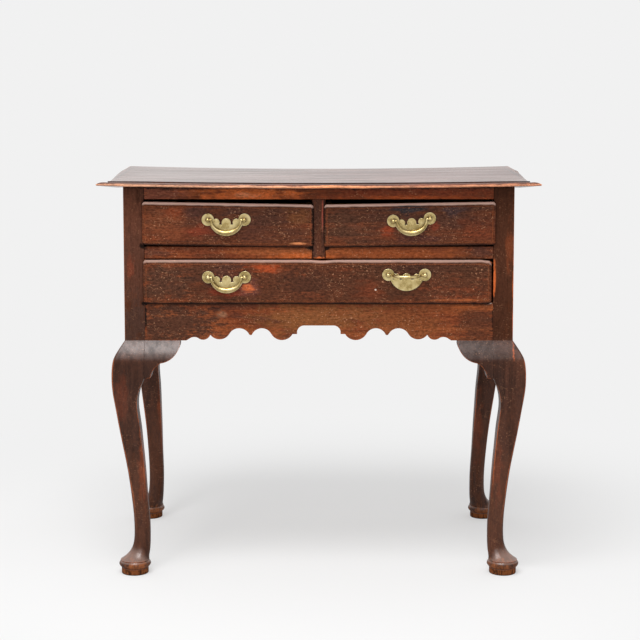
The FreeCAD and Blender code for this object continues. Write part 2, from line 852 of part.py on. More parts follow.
def handle_post(sign):
    """A post: a ball head drilled for the bail, a collar on the plate and a shank through the front."""
    x = sign * handle_post_spacing / 2
    head = Part.makeSphere(post_head_radius, at(x, -bail_standoff, 0))
    shank_end = drawer_front_thickness + nut_thickness + post_tail_length
    shank = rod(post_shaft_radius, at(x, -bail_standoff, 0), at(x, shank_end, 0))
    collar_y = -handle_plate_thickness
    collar = rod(post_collar_radius, at(x, collar_y, 0), at(x, collar_y - post_collar_thickness, 0))
    hole_end = x + sign * (bail_pin_depth + bail_pin_clearance)
    hole = rod(
        bail_pin_radius + bail_pin_clearance,
        at(sign * bail_half_span, -bail_standoff, 0),
        at(hole_end, -bail_standoff, 0),
    )
    return head.fuse([shank, collar]).removeSplitter().cut(hole)


def handle_nut(sign):
    x = sign * handle_post_spacing / 2
    start_y = drawer_front_thickness
    nut = rod(nut_radius, at(x, start_y, 0), at(x, start_y + nut_thickness, 0))
    bore = rod(
        post_shaft_radius + post_hole_clearance,
        at(x, start_y - overrun, 0),
        at(x, start_y + nut_thickness + overrun, 0),
    )
    return nut.cut(bore)


def bail():
    """The swan-necked bail, hanging: a half ellipse that thickens to its grip, with a pin out of each end."""
    sections = []
    for step in range(bail_section_count):
        angle = math.pi * step / (bail_section_count - 1)
        middle = at(-bail_half_span * math.cos(angle), -bail_standoff, -bail_drop * math.sin(angle))
        along = at(bail_half_span * math.sin(angle), 0, -bail_drop * math.cos(angle))
        swell = abs(math.sin(angle)) ** bail_taper_power
        radius = bail_pin_radius + (bail_grip_radius - bail_pin_radius) * swell
        sections.append(Part.Wire(Part.makeCircle(radius, middle, along)))
    loop = Part.makeLoft(sections, True)
    pieces = []
    for sign in (-1, 1):
        elbow = at(sign * bail_half_span, -bail_standoff, 0)
        pin_end = at(sign * (handle_post_spacing / 2 + bail_pin_depth), -bail_standoff, 0)
        pieces += [Part.makeSphere(bail_pin_radius, elbow), rod(bail_pin_radius, elbow, pin_end)]
    return loop.fuse(pieces).removeSplitter()


def make_handle(name, drawer, x, z, tilt, lift):
    """One handle on a drawer front, with its plate turned by tilt and its bail raised by lift."""

    def placed(shape):
        copy = shape.copy()
        copy.rotate(origin, inward, -tilt)
        return moved(copy, x, lip_front_y, z)

    hanging = bail()
    hanging.rotate(at(0, -bail_standoff, 0), across, -lift)
    front = drawer + "_drawer_front"
    half = handle_post_spacing / 2
    for sign in (-1, 1):
        hole = rod(
            post_shaft_radius + post_hole_clearance,
            at(sign * half, -overrun, 0),
            at(sign * half, drawer_front_thickness + overrun, 0),
        )
        nodes[front] = nodes[front].cut(placed(hole))
    plate_bore = [rod(
        post_shaft_radius + post_hole_clearance,
        at(sign * half, -handle_plate_thickness - overrun, 0),
        at(sign * half, overrun, 0),
    ) for sign in (-1, 1)]
    nodes[name + "_handle_plate"] = placed(cut_all(handle_plate(), plate_bore))
    nodes[name + "_handle_posts"] = Part.makeCompound([placed(handle_post(-1)), placed(handle_post(1))])
    nodes[name + "_handle_nuts"] = Part.makeCompound([placed(handle_nut(-1)), placed(handle_nut(1))])
    nodes[name + "_handle_bail"] = placed(hanging)


# Assembly


def make_case():
    make_front_frame()
    make_runners()
    side = make_side()
    nodes["right_side_board"] = side
    nodes["left_side_board"] = mirrored_x(side)
    nails = make_nails()
    nodes["back_board"] = cut_all(make_back(), nails)
    nodes["back_nails"] = Part.makeCompound(nails)

    leg = plain_leg()
    leaning_leg = plain_leg(rear_left_lean)
    corners = {"rear_right": 0, "rear_left": 90, "front_left": 180, "front_right": 270}
    names = ("top_rail", "middle_rail", "apron", "right_side_board", "left_side_board")
    housed = [nodes[name] for name in names]
    housed += [nodes["back_board"]] + nails
    for corner, degrees in corners.items():
        shape = leaning_leg if corner == "rear_left" else leg
        nodes[corner + "_leg"] = cut_all(at_corner(shape, degrees), housed)

    bracket = knee_bracket()
    swapped_bracket = swapped(bracket)
    nodes["front_left_knee_bracket"] = at_corner(bracket, corners["front_left"])
    nodes["front_right_knee_bracket"] = at_corner(swapped_bracket, corners["front_right"])
    nodes["left_front_side_bracket"] = at_corner(swapped_bracket, corners["front_left"])
    nodes["right_front_side_bracket"] = at_corner(bracket, corners["front_right"])
    nodes["left_rear_side_bracket"] = at_corner(bracket, corners["rear_left"])
    nodes["right_rear_side_bracket"] = at_corner(swapped_bracket, corners["rear_right"])

    nodes["top_kickers"] = Part.makeCompound(make_kickers())
    nodes["glue_blocks"] = Part.makeCompound(make_glue_blocks())
    nodes["drawer_stops"] = Part.makeCompound(make_drawer_stops())


def make_drawers():
    upper_height = upper_opening_height - drawer_running_gap - upper_drawer_top_gap
    long_height = lower_opening_height - drawer_running_gap - long_drawer_top_gap
    spans = drawer_spans()
    both_lips = (lip_side_reach, lip_side_reach)
    make_drawer("upper_left", *spans[0], upper_height, both_lips)
    make_drawer("upper_right", *spans[1], upper_height, both_lips)
    make_drawer("long", *spans[2], long_height, (lip_side_reach - drawer_side_clearance, 0))


def make_handles():
    upper_x = (clear_x + divider_width / 2) / 2 + upper_handle_offset
    upper_z = top_rail_bottom_z - upper_drawer_top_gap - upper_handle_drop
    long_top_z = middle_rail_bottom_z - long_drawer_top_gap
    left_z = long_top_z - lower_left_handle_drop
    right_z = long_top_z - lower_right_handle_drop
    make_handle("upper_left", "upper_left", -upper_x, upper_z, 0, 0)
    make_handle("upper_right", "upper_right", upper_x, upper_z, crooked_handle_angle, 0)
    make_handle("lower_left", "long", -lower_left_handle_place, left_z, 0, 0)
    make_handle("lower_right", "long", lower_right_handle_place, right_z, 0, raised_bail_angle)


def main():
    make_top()
    make_case()
    make_drawers()
    make_handles()
    os.makedirs("parts", exist_ok=True)
    for name, shape in nodes.items():
        shape.exportStep("parts/" + name + ".step")
        print(name, "solids", len(shape.Solids), "valid", shape.isValid(), "volume", round(shape.Volume))


main()
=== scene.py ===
import json
import math

import bmesh
import bpy
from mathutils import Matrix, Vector, noise

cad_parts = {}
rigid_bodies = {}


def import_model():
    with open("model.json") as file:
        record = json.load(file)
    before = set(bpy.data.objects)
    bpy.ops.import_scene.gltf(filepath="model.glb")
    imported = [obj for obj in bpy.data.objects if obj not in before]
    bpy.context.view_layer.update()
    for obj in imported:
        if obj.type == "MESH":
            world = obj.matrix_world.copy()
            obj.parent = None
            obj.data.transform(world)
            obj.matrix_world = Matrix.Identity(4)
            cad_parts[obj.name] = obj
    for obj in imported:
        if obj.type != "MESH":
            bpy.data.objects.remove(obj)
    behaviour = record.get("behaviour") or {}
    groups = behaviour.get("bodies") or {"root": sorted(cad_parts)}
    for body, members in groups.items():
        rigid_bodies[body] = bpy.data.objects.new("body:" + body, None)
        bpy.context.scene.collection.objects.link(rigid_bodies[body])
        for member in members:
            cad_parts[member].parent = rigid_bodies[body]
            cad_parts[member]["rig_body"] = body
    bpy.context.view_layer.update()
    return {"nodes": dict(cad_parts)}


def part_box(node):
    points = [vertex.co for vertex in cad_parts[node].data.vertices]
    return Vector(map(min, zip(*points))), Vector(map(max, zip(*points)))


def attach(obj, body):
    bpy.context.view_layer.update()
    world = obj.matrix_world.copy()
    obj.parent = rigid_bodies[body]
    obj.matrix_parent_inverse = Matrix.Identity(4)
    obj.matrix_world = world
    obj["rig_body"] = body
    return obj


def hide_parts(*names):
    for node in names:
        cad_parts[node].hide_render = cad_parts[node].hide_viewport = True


# An old lowboy in dark worn wood with gilt brass handles. Metres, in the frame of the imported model.

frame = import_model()

scene = bpy.context.scene
scene.view_settings.view_transform = "Standard"

# Axes, the faces that marks lie on, and the places that the finishes and the wear go by

ALONG_X, ALONG_Y, ALONG_Z = 0, 1, 2
FRONT, UPPER = (ALONG_X, ALONG_Z), (ALONG_X, ALONG_Y)

CASE_Y = 0.009
POST_INNER_X = 0.311
POST_INNER_Y = 0.173
KNEE_TOP = 0.429
SHIN = 0.2
PAD_TOP = 0.05
DISC_TOP = 0.010
FOOT_X = 0.335
FOOT_Y = 0.1966
LIP_REAR = -0.2002


def paint(red, green, blue):
    """A colour from its 0 to 255 screen values, as the shaders take it."""
    shares = [value / 255 for value in (red, green, blue)]
    linear = [s / 12.92 if s <= 0.04045 else ((s + 0.055) / 1.055) ** 2.4 for s in shares]
    return (*linear, 1.0)


# Shader arithmetic


class Tone:
    """A shader socket that takes part in plain arithmetic."""

    def __init__(self, nodes, socket):
        self.nodes = nodes
        self.socket = socket

    def joined(self, operation, first, second):
        return self.nodes.node("Math", {"operation": operation}, {0: first, 1: second})

    def __add__(self, other):
        return self.joined("ADD", self, other)

    def __radd__(self, other):
        return self.joined("ADD", other, self)

    def __sub__(self, other):
        return self.joined("SUBTRACT", self, other)

    def __rsub__(self, other):
        return self.joined("SUBTRACT", other, self)

    def __mul__(self, other):
        return self.joined("MULTIPLY", self, other)

    def __rmul__(self, other):
        return self.joined("MULTIPLY", other, self)

    def __truediv__(self, other):
        return self.joined("DIVIDE", self, other)

    def __pow__(self, other):
        return self.joined("POWER", self, other)


class Nodes:
    """A node tree that gets its nodes one at a time."""

    def __init__(self, tree):
        self.tree = tree

    def node(self, kind, settings=None, sockets=None, output=0):
        """Adds a node with its settings, then its sockets' values or links; gives one output."""
        made = self.tree.nodes.new(kind if "Node" in kind else "ShaderNode" + kind)
        for name, value in (settings or {}).items():
            if name == "stops":
                while len(made.color_ramp.elements) < len(value):
                    made.color_ramp.elements.new(1.0)
                for element, (place, colour) in zip(made.color_ramp.elements, value):
                    element.position = place
                    element.color = colour
            else:
                setattr(made, name, value)
        for name, value in (sockets or {}).items():
            self.plug(made.inputs[name], value)
        return Tone(self, made.outputs[output])

    def plug(self, socket, value):
        if isinstance(value, Tone):
            self.tree.links.new(value.socket, socket)
        else:
            socket.default_value = value

    def step(self, value, low, high):
        """0 below low, 1 above high, smooth between; turned round where low is the larger."""
        sockets = {"Value": value, "From Min": low, "From Max": high}
        return self.node("MapRange", {"interpolation_type": "SMOOTHSTEP"}, sockets)

    def larger(self, first, second):
        return self.node("Math", {"operation": "MAXIMUM"}, {0: first, 1: second})

    def size(self, value):
        """The value without its sign."""
        return self.node("Math", {"operation": "ABSOLUTE"}, {0: value})

    def plainly_seen(self):
        """1 for what the camera sees, straight or by way of metal and polish."""
        rays = self.node("LightPath").socket.node.outputs
        names = ("Is Camera Ray", "Is Glossy Ray", "Is Transmission Ray")
        straight, mirrored, through = [Tone(self, rays[name]) for name in names]
        return self.larger(straight, self.larger(mirrored, through))


class Finish(Nodes):
    """A material with one Principled shader, and the patterns that the finishes share."""

    def __init__(self, name):
        self.material = bpy.data.materials.new(name)
        self.material.use_nodes = True
        super().__init__(self.material.node_tree)
        self.shader = self.tree.nodes["Principled BSDF"]
        self.place = self.node("TexCoord", output="Object")
        self.x, self.y, self.z = self.axes = self.parts(self.place)
        normal = self.node("TexCoord", output="Normal")
        self.facing_x, self.facing_y, self.facing_z = self.parts(normal)

    def parts(self, vector):
        split = self.node("SeparateXYZ", None, {0: vector}).socket.node
        return [Tone(self, socket) for socket in split.outputs]

    def set(self, **values):
        """Sets sockets of the shader, named with _ for a space."""
        for name, value in values.items():
            self.plug(self.shader.inputs[name.replace("_", " ")], value)

    def cloud(self, sizes, shift=0.0, detail=3.0, rough=0.55, turn=0.0):
        """Noise round a half, with features of these sizes along X, Y and Z."""
        sockets = {
            "Vector": self.place,
            "Location": (shift, shift / 2, shift / 3),
            "Rotation": (0, turn, 0),
            "Scale": sizes,
        }
        where = self.node("Mapping", {"vector_type": "TEXTURE"}, sockets)
        sockets = {"Vector": where, "Scale": 1.0, "Detail": detail, "Roughness": rough}
        return self.node("TexNoise", None, sockets)

    def blend(self, share, under, over, mode="MIX"):
        settings = {"data_type": "RGBA", "blend_type": mode}
        return self.node("Mix", settings, {0: share, 6: under, 7: over}, output=2)

    def ramp(self, value, tones):
        """Three tones, from the first at 0 to the last at 1."""
        stops = list(zip((0.0, 0.5, 1.0), tones))
        return self.node("ValToRGB", {"stops": stops}, {"Fac": value})

    def rounded(self, reach):
        return self.node("Bevel", {"samples": 4}, {"Radius": reach})

    def arris(self, reach):
        """How far a place is on an edge: 0 on a flat, about 0.3 on a square arris."""
        normal = self.node("NewGeometry", output="Normal")
        vectors = {0: self.rounded(reach), 1: normal}
        return 1 - self.node("VectorMath", {"operation": "DOT_PRODUCT"}, vectors, output="Value")

    def openness(self, reach):
        """1 in the open, less in a hollow of about this reach."""
        return self.node("AmbientOcclusion", {"samples": 6}, {"Distance": reach}, output="AO")

    def bumped(self, height, strength, depth, soft=0.0):
        """The normal of a surface with this height on it, and with arrises as soft as this."""
        sockets = {"Strength": strength, "Distance": depth, "Height": height}
        if soft:
            sockets["Normal"] = self.rounded(soft)
        return self.node("Bump", None, sockets)


# Woods

# A near black for grime, dark joints and rust stains, also used as painted shade in gaps, quirks,
# hollows and under overhangs.
GRIME_AND_SHADE = paint(24, 15, 12)
DARK = paint(52, 31, 24)
UMBER = paint(74, 45, 34)
BROWN = paint(90, 49, 31)
RUSSET = paint(108, 53, 30)
RED = paint(136, 54, 34)
WORN = paint(196, 104, 56)
NOSE = paint(222, 160, 124)
FLECK = paint(204, 146, 108)
# A pale tone for painted highlights on drawer lips and pad tops, partly dust and pale worn wood.
DUST_AND_SHEEN = paint(214, 177, 162)

ARRIS = 0.0030
SOFT_ARRIS = 0.0010
HOLLOW = 0.012
GRAIN_DEPTH = 0.0005


class Wood(Finish):
    """Old waxed wood, in layers that share the noises along its grain."""

    def __init__(self, name, along, plane):
        super().__init__(name)
        self.along = along
        self.plane = plane
        self.patches = self.grain(0.15, 0.06, shift=1.7)
        self.streaks = self.grain(0.30, 0.008, shift=4.1, detail=4.0, rough=0.6)
        self.sand = self.grain(0.0065, 0.0032, shift=7.9, rough=0.7)
        self.fibres = self.grain(0.05, 0.0018, shift=2.3, rough=0.7)
        self.blots = self.grain(0.028, 0.010, shift=6.3, detail=4.0, rough=0.65)
        self.ragged = (self.sand - 0.5) * 0.9 + (self.streaks - 0.5) + (self.blots - 0.5) * 2.4
        self.upward = self.facing_z + (self.blots - 0.5) * 0.4

    def grain(self, length, width, **more):
        """Noise with features of this length along the grain and this width across it."""
        sizes = [width] * 3
        sizes[self.along] = length
        return self.cloud(sizes, **more)

    def spot(self, middle, reach):
        """A soft ragged patch round a place on the face."""
        places = zip(self.plane, middle, reach)
        across, up = [(self.axes[axis] - place) / size for axis, place, size in places]
        far = (across * across + up * up) ** 0.5 + self.ragged
        return self.step(far, 1.0, 0.3)

    def toned(self, tones):
        """Patches and streaks of three tones."""
        return self.ramp(self.step(self.patches * 0.55 + self.streaks * 0.45, 0.36, 0.64), tones)

    def marked(self, colour, marks):
        """Stains, rubbed places and grime."""
        for middle, reach, tint, strength in marks:
            colour = self.blend(self.spot(middle, reach) * strength, colour, tint)
        return colour

    def sanded(self, colour, sandy, fibrous):
        """A gritty, fibrous surface."""
        grit = 0.96 + (self.sand - 0.5) * sandy + (self.fibres - 0.5) * fibrous
        return self.blend(1.0, colour, grit, "MULTIPLY")

    def bared(self, wear, rub, rim, joints):
        """Where arrises are worn through to bright wood: on the rim alone, or not at the joints."""
        edge = self.step(self.arris(ARRIS) + (self.sand - 0.5) * 0.18, 0.06, 0.24) * wear
        if rub:
            corner = self.size(self.facing_x * self.facing_y * 2.0)
            corner = corner + (self.sand - 0.5) * 0.5 + (self.streaks - 0.5) * 0.9
            above_pad = self.step(self.z, PAD_TOP + 0.01, SHIN)
            edge = self.larger(edge, self.step(corner, 0.72, 1.02) * above_pad * rub)
        if rim:
            end, front, rear = rim
            before = self.step(self.y, front, front - 0.005)
            outside = self.larger(before, self.step(self.y, rear, rear + 0.004))
            edge = edge * self.larger(outside, self.step(self.size(self.x), end, end + 0.006))
        for axis, middle, reach in joints:
            away = self.size(self.size(self.axes[axis] - middle) - reach)
            edge = edge * self.step(away, 0.002, 0.006)
        return edge

    def flecked(self, colour, fleck):
        """Crowds of pale dots and fine scratches."""
        crowds = self.step(self.cloud((0.05, 0.05, 0.05), shift=9.1), 0.36, 0.66)
        dots = self.cloud((0.0034, 0.0024, 0.0024), shift=5.3, detail=2.0)
        lines = self.cloud((0.040, 0.040, 0.012), shift=3.3, detail=1.0, turn=0.4) - 0.5
        lines = self.step(self.size(lines), 0.008, 0.002) * 0.35
        pale = self.larger(self.step(dots, 0.62, 0.72), lines)
        return self.blend(pale * crowds * fleck, colour, FLECK)

    def shaded_in_hollows(self, colour):
        """Painted shade: darker in the hollows, where ambient occlusion is low."""
        return self.blend(self.step(self.openness(HOLLOW), 0.78, 0.30) * 0.95, colour, GRIME_AND_SHADE)

    def waxed(self, wax, patchy, dulled):
        """How much wax is left: less on dark streaks and patches, and in the dulled places."""
        on_streaks = 1 - patchy * self.step(self.streaks, 0.6, 0.35)
        on_patches = 1 - 0.4 * patchy * self.step(self.patches, 0.6, 0.4)
        polish = wax * on_streaks * on_patches
        for middle, reach, strength in dulled:
            polish = polish * (1 - strength * self.spot(middle, reach))
        return polish

    def lipped(self, colour, lip_dust_and_sheen):
        """A drawer lip: a painted highlight along the round of its top, partly dust and pale worn
        wood, and painted shade on its underside.
        """
        rounded = self.step(self.upward, 0.04, 0.42) * self.step(self.facing_z, 0.99, 0.80)
        lip = rounded * self.step(self.y, LIP_REAR - 0.0010, LIP_REAR - 0.0030)
        # Painted highlight along the top round of the lip, partly dust.
        colour = self.blend(lip * lip_dust_and_sheen, colour, DUST_AND_SHEEN)
        # Painted shade on the downward-facing underside of the lip.
        return self.blend(self.step(self.upward, -0.15, -0.60) * 0.85, colour, GRIME_AND_SHADE)

    def gouges(self):
        """Upright tool marks round the discs under the four feet."""
        across = self.size(self.x) - FOOT_X
        deep = self.size(self.y - CASE_Y) - FOOT_Y
        angle = self.node("Math", {"operation": "ARCTAN2"}, {0: across, 1: deep})
        side = self.step(self.x, -0.01, 0.01) * 5.0
        around = self.node("CombineXYZ", None, {0: angle, 1: side, 2: self.z * 12.0})
        sockets = {"Vector": around, "Scale": 5.0, "Detail": 1.0, "Roughness": 0.5}
        cuts = self.step(self.node("TexNoise", None, sockets), 0.52, 0.58)
        return cuts * self.step(self.z, DISC_TOP + 0.0015, DISC_TOP - 0.0015)

    def footed(self, colour, height, polish):
        """A leg's pad with a pale patch on top, a painted highlight and partly dust, the cut disc
        under it, and the wax that its curves keep.
        """
        pad = self.step(self.upward, 0.35, 0.80) * self.step(self.z, PAD_TOP + 0.01, PAD_TOP - 0.01)
        # Painted highlight on the pad tops, partly dust.
        colour = self.blend(pad * 0.22, colour, DUST_AND_SHEEN)
        gouges = self.gouges()
        colour = self.blend(gouges * 0.7, colour, GRIME_AND_SHADE)
        below_knee = self.step(self.z, KNEE_TOP + 0.012, KNEE_TOP - 0.012)
        curved = self.step(self.z, DISC_TOP, DISC_TOP + 0.008) * below_knee
        polish = polish * (0.2 + 0.8 * curved)
        polish = polish * (0.45 + 0.55 * self.step(self.facing_z, 0.22, 0.62))
        return colour, height - gouges, polish


def wood(
    name, along, tones, marks=(), plane=FRONT, wear=0.7, worn=WORN, rub=0.0, rim=None, joints=(),
    fleck=0.6, sandy=2.2, fibrous=1.1, relief=0.3, wax=0.85, gloss=0.15, film=1.2, patchy=0.35,
    dulled=(), lip_dust_and_sheen=0.0, leg=False,
):
    """Old waxed wood: three tones, marks, a sandy surface, bright arrises, flecks, painted shade in
    the hollows, and painted highlights on drawer lips and leg pads where asked.
    """
    finish = Wood(name, along, plane)
    colour = finish.marked(finish.toned(tones), marks)
    colour = finish.sanded(colour, sandy, fibrous)
    colour = finish.blend(finish.bared(wear, rub, rim, joints), colour, worn)
    # Painted shade in the hollows, from ambient occlusion.
    colour = finish.shaded_in_hollows(finish.flecked(colour, fleck))
    height = finish.fibres * 0.4 + finish.sand * 0.6
    polish = finish.waxed(wax, patchy, dulled) if wax else 0.0
    # A painted highlight on drawer lips, partly dust and worn wood, with painted shade under them.
    if lip_dust_and_sheen:
        colour = finish.lipped(colour, lip_dust_and_sheen)
    if leg:
        colour, height, polish = finish.footed(colour, height, polish)
    normal = finish.bumped(height, relief, GRAIN_DEPTH, SOFT_ARRIS)
    finish.set(Base_Color=colour, Normal=normal, Roughness=0.6, Specular_IOR_Level=0.0)
    finish.set(Coat_Weight=polish, Coat_Roughness=gloss, Coat_IOR=film)
    return finish.material


# Marks: the middle and the reach of each on its face, its tint and its strength

top_marks = (
    # A paler grey patch on the left: painted sheen, and partly a faded place.
    ((-0.250, 0.000), (0.220, 0.320), paint(108, 84, 75), 0.6),
    ((0.280, 0.000), (0.200, 0.300), paint(92, 48, 34), 0.7),
    # The nose: pale worn wood with a painted highlight along its round.
    ((-0.150, -0.2410), (0.500, 0.0060), NOSE, 0.9),
    ((0.020, -0.2410), (0.140, 0.0050), paint(226, 138, 84), 0.8),
    ((0.300, -0.2410), (0.250, 0.0060), paint(206, 132, 92), 0.7),
    # Painted shade in the quirk above the nose.
    ((0.000, -0.2222), (0.900, 0.0024), GRIME_AND_SHADE, 0.5),
    ((-0.250, -0.2370), (0.130, 0.0040), DARK, 0.6),
    ((0.000, 0.1220), (0.900, 0.0016), GRIME_AND_SHADE, 0.7),
    # Painted shade in the quirks at the ends.
    ((-0.3705, 0.0000), (0.0030, 0.3200), GRIME_AND_SHADE, 0.6),
    ((0.3705, 0.0000), (0.0030, 0.3200), GRIME_AND_SHADE, 0.6),
)
rail_marks = (
    ((0.180, 0.690), (0.240, 0.030), paint(134, 63, 36), 0.75),
    ((-0.280, 0.690), (0.070, 0.040), paint(124, 70, 52), 0.9),
    ((-0.120, 0.690), (0.120, 0.026), paint(204, 104, 52), 0.9),
    ((-0.130, 0.689), (0.030, 0.006), FLECK, 0.4),
    ((0.160, 0.697), (0.170, 0.012), paint(116, 52, 30), 0.8),
    ((0.150, 0.685), (0.160, 0.005), paint(176, 84, 40), 0.6),
    ((-0.295, 0.587), (0.040, 0.012), paint(92, 54, 40), 0.8),
    ((-0.030, 0.581), (0.070, 0.009), paint(184, 92, 44), 0.7),
    ((0.130, 0.586), (0.180, 0.016), paint(142, 73, 37), 0.6),
    ((0.290, 0.590), (0.035, 0.014), paint(76, 46, 36), 0.85),
    # Painted shadow under the top's overhang.
    ((0.000, 0.7065), (0.900, 0.0080), GRIME_AND_SHADE, 0.95),
    ((-0.3110, 0.6920), (0.0022, 0.0300), GRIME_AND_SHADE, 0.9),
    ((0.3110, 0.6920), (0.0016, 0.0300), GRIME_AND_SHADE, 0.6),
    ((-0.3110, 0.5870), (0.0018, 0.0300), GRIME_AND_SHADE, 0.7),
    # Painted shade in the gaps at the drawers' lower corners.
    ((-0.3085, 0.5975), (0.0090, 0.0050), GRIME_AND_SHADE, 0.95),
    ((-0.0140, 0.5945), (0.0110, 0.0060), GRIME_AND_SHADE, 0.95),
    ((0.0135, 0.5950), (0.0090, 0.0060), GRIME_AND_SHADE, 0.95),
)
apron_marks = (
    ((-0.020, 0.470), (0.060, 0.022), paint(176, 112, 66), 0.35),
    ((0.095, 0.474), (0.055, 0.020), paint(164, 98, 58), 0.25),
    ((-0.075, 0.448), (0.020, 0.020), paint(150, 84, 46), 0.40),
    ((-0.260, 0.460), (0.110, 0.060), paint(68, 43, 32), 0.9),
    ((0.000, 0.472), (0.140, 0.040), paint(120, 72, 40), 0.8),
    ((0.150, 0.460), (0.090, 0.050), paint(108, 62, 34), 0.6),
    ((0.285, 0.455), (0.050, 0.050), paint(78, 46, 31), 0.7),
    ((-0.185, 0.484), (0.012, 0.006), DARK, 0.8),
    ((-0.172, 0.477), (0.013, 0.009), paint(168, 126, 96), 0.35),
    ((0.263, 0.489), (0.050, 0.004), paint(160, 84, 42), 0.6),
    ((0.303, 0.4960), (0.005, 0.0016), paint(214, 198, 186), 0.9),
    ((-0.3095, 0.4700), (0.0034, 0.0420), GRIME_AND_SHADE, 0.95),
    # Painted shade in the gap at the long drawer's lower left corner.
    ((-0.3070, 0.4970), (0.0070, 0.0030), GRIME_AND_SHADE, 0.95),
    ((-0.3090, 0.4460), (0.0020, 0.0120), paint(126, 62, 34), 0.7),
    ((0.3105, 0.4650), (0.0018, 0.0340), GRIME_AND_SHADE, 0.7),
)
drawer_marks = (
    ((0.000, 0.535), (0.700, 0.070), paint(72, 43, 29), 0.7),
    ((-0.275, 0.640), (0.070, 0.040), paint(122, 68, 42), 0.5),
    ((-0.256, 0.658), (0.026, 0.014), paint(140, 66, 38), 0.55),
    ((-0.217, 0.658), (0.030, 0.018), paint(70, 46, 40), 0.7),
    ((-0.150, 0.667), (0.045, 0.012), paint(64, 43, 38), 0.7),
    ((-0.214, 0.626), (0.034, 0.016), RED, 0.45),
    ((-0.114, 0.624), (0.044, 0.020), paint(76, 44, 34), 0.5),
    ((-0.034, 0.655), (0.030, 0.022), paint(106, 64, 36), 0.6),
    ((-0.035, 0.604), (0.014, 0.0022), paint(206, 130, 84), 0.75),
    # Painted shade in the gaps beside the divider.
    ((-0.0100, 0.6380), (0.0036, 0.0600), GRIME_AND_SHADE, 0.9),
    ((0.0100, 0.6380), (0.0036, 0.0600), GRIME_AND_SHADE, 0.9),
    ((0.045, 0.638), (0.055, 0.040), paint(74, 48, 35), 0.7),
    ((0.159, 0.668), (0.040, 0.013), paint(46, 43, 46), 0.9),
    ((0.238, 0.662), (0.030, 0.014), paint(66, 50, 50), 0.75),
    ((0.123, 0.627), (0.020, 0.015), paint(148, 60, 32), 0.6),
    ((0.203, 0.636), (0.014, 0.012), RED, 0.5),
    ((0.173, 0.614), (0.045, 0.012), paint(76, 44, 40), 0.6),
    ((0.280, 0.632), (0.045, 0.032), paint(98, 47, 28), 0.6),
    ((-0.275, 0.540), (0.060, 0.050), paint(74, 48, 36), 0.7),
    ((-0.165, 0.548), (0.055, 0.032), paint(70, 43, 36), 0.6),
    ((-0.168, 0.518), (0.042, 0.011), RED, 0.6),
    ((-0.122, 0.524), (0.026, 0.019), paint(116, 66, 56), 0.6),
    ((-0.124, 0.525), (0.013, 0.010), paint(204, 104, 58), 0.8),
    ((-0.092, 0.559), (0.040, 0.010), paint(164, 70, 34), 0.7),
    ((-0.020, 0.535), (0.060, 0.030), paint(66, 39, 28), 0.6),
    ((0.088, 0.520), (0.034, 0.024), paint(106, 52, 31), 0.7),
    ((0.170, 0.556), (0.060, 0.016), paint(60, 38, 31), 0.6),
    ((0.245, 0.503), (0.060, 0.004), paint(160, 84, 44), 0.6),
    ((0.1008, 0.5215), (0.0022, 0.0018), paint(236, 214, 196), 1.0),
    # Painted shade in the gaps at the drawers' lower corners.
    ((-0.3135, 0.6015), (0.0070, 0.0060), GRIME_AND_SHADE, 0.95),
    ((-0.0110, 0.5950), (0.0090, 0.0070), GRIME_AND_SHADE, 0.95),
    ((0.0110, 0.5950), (0.0090, 0.0070), GRIME_AND_SHADE, 0.95),
    ((-0.3120, 0.4950), (0.0080, 0.0060), GRIME_AND_SHADE, 0.95),
)
divider_marks = (
    ((0.0, 0.5765), (0.016, 0.004), paint(208, 106, 54), 0.9),
    ((0.0065, 0.6500), (0.0018, 0.0420), paint(168, 82, 64), 0.7),
    # Painted shade in the gaps beside the drawers.
    ((-0.0105, 0.6380), (0.0030, 0.0700), GRIME_AND_SHADE, 0.9),
    ((0.0105, 0.6380), (0.0026, 0.0700), GRIME_AND_SHADE, 0.9),
)
leg_marks = (
    ((-0.335, 0.600), (0.070, 0.190), paint(84, 52, 40), 0.9),
    ((0.335, 0.600), (0.070, 0.190), paint(76, 44, 30), 0.9),
    ((-0.335, 0.660), (0.030, 0.070), paint(104, 62, 46), 0.7),
    ((-0.336, 0.560), (0.012, 0.030), paint(116, 56, 38), 0.6),
    ((-0.330, 0.460), (0.030, 0.060), paint(68, 47, 39), 0.8),
    ((0.340, 0.600), (0.009, 0.060), paint(124, 62, 36), 0.6),
    ((0.326, 0.480), (0.020, 0.060), paint(68, 39, 26), 0.7),
    ((0.313, 0.541), (0.0032, 0.036), paint(206, 102, 52), 0.9),
    ((0.3475, 0.520), (0.0026, 0.110), paint(196, 96, 50), 0.85),
    ((-0.335, 0.130), (0.070, 0.130), paint(84, 47, 29), 0.8),
    ((0.335, 0.130), (0.070, 0.130), paint(84, 47, 29), 0.8),
    ((-0.316, 0.210), (0.012, 0.090), paint(124, 58, 30), 0.6),
    ((0.322, 0.190), (0.012, 0.080), paint(116, 54, 30), 0.5),
    ((-0.352, 0.330), (0.016, 0.050), paint(112, 52, 30), 0.4),
    ((-0.335, 0.000), (0.080, 0.030), paint(138, 80, 44), 0.9),
    ((0.335, 0.000), (0.080, 0.030), paint(138, 80, 44), 0.9),
    # Painted shade in the gaps at the drawers' lower corners.
    ((-0.3130, 0.5985), (0.0070, 0.0060), GRIME_AND_SHADE, 0.95),
    ((-0.3130, 0.4960), (0.0060, 0.0050), GRIME_AND_SHADE, 0.95),
    # Painted shadow under the top's overhang on the post tops.
    ((-0.330, 0.7075), (0.060, 0.0065), GRIME_AND_SHADE, 0.95),
    ((0.330, 0.7075), (0.060, 0.0065), GRIME_AND_SHADE, 0.95),
)

# The rusty stains round the nails, which stand in a row along each edge of the back

NAIL_ROWS = 4
NAIL_HEAD = 0.0045
STAIN_DROP = 0.004
STAIN_REACH = (0.011, 0.017)

